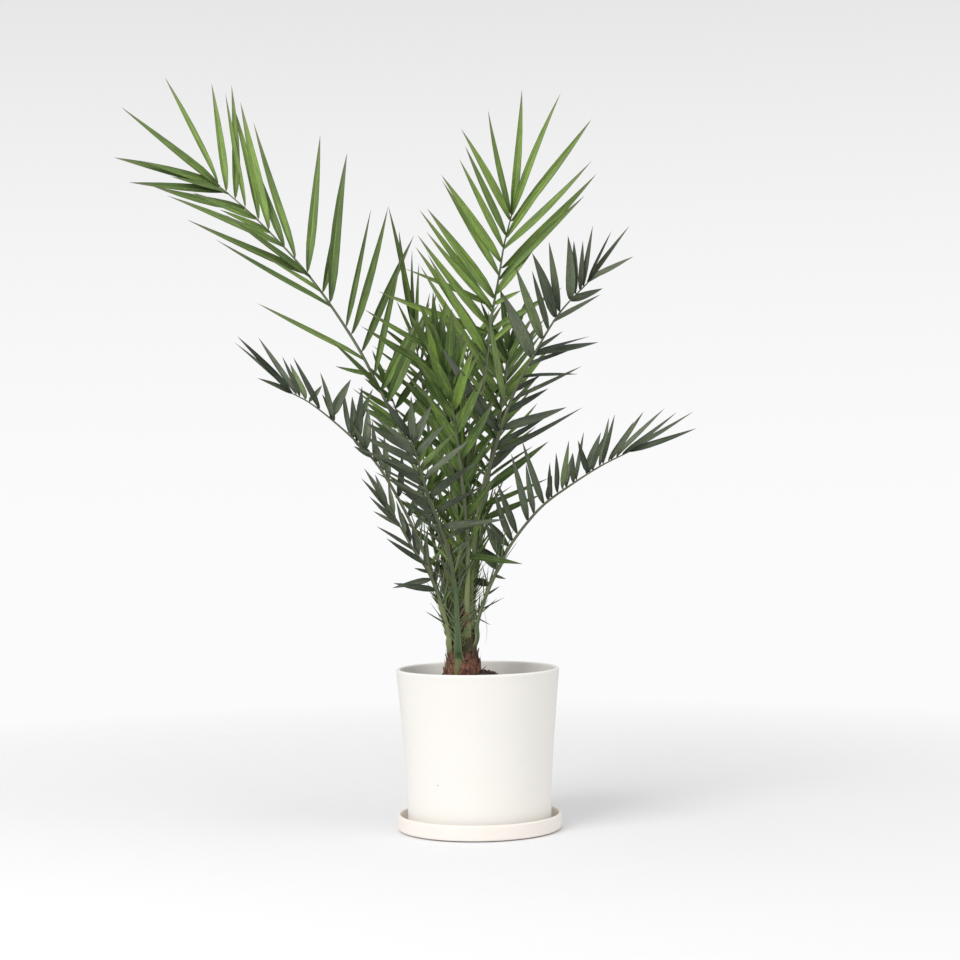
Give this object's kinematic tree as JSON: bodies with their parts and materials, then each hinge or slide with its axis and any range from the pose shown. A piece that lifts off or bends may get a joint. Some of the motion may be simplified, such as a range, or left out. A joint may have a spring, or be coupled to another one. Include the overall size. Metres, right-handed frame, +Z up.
{
  "type": "potted canary island date palm",
  "caption": "Young date palm with arching feathery fronds on a short swollen stem, growing in a tall flared ceramic pot on a matching saucer.",
  "frame": {"origin": "middle of the saucer's flat underside, on the surface the object stands on", "axes": "+Z up along the pot's axis; -Y is the front, the side the picture shows; +X is to the right seen from the front"},
  "size_m": [0.835, 0.601, 1.1222],
  "materials": {
    "saucer_glaze": "satin",
    "pot_glaze": "satin",
    "soil": "matte",
    "stem_bark": "matte",
    "leaf_bright": "satin",
    "leaf_dark": "satin"
  },
  "bodies": {
    "root": {"saucer": "saucer_glaze", "pot": "pot_glaze", "soil": "soil", "stem": "stem_bark", "frond_left_high": "leaf_bright", "frond_right_high": "leaf_bright", "frond_right_middle": "leaf_dark", "frond_right_low": "leaf_dark", "frond_left_middle": "leaf_dark", "frond_front_left": "leaf_dark", "frond_left_low": "leaf_dark", "frond_left_inner": "leaf_dark", "frond_back_left": "leaf_dark", "frond_right_inner": "leaf_bright", "frond_centre": "leaf_bright", "frond_front_middle": "leaf_bright", "frond_back_middle": "leaf_dark", "frond_back_right": "leaf_dark", "spear_leaf": "leaf_bright"}
  },
  "joints": []
}
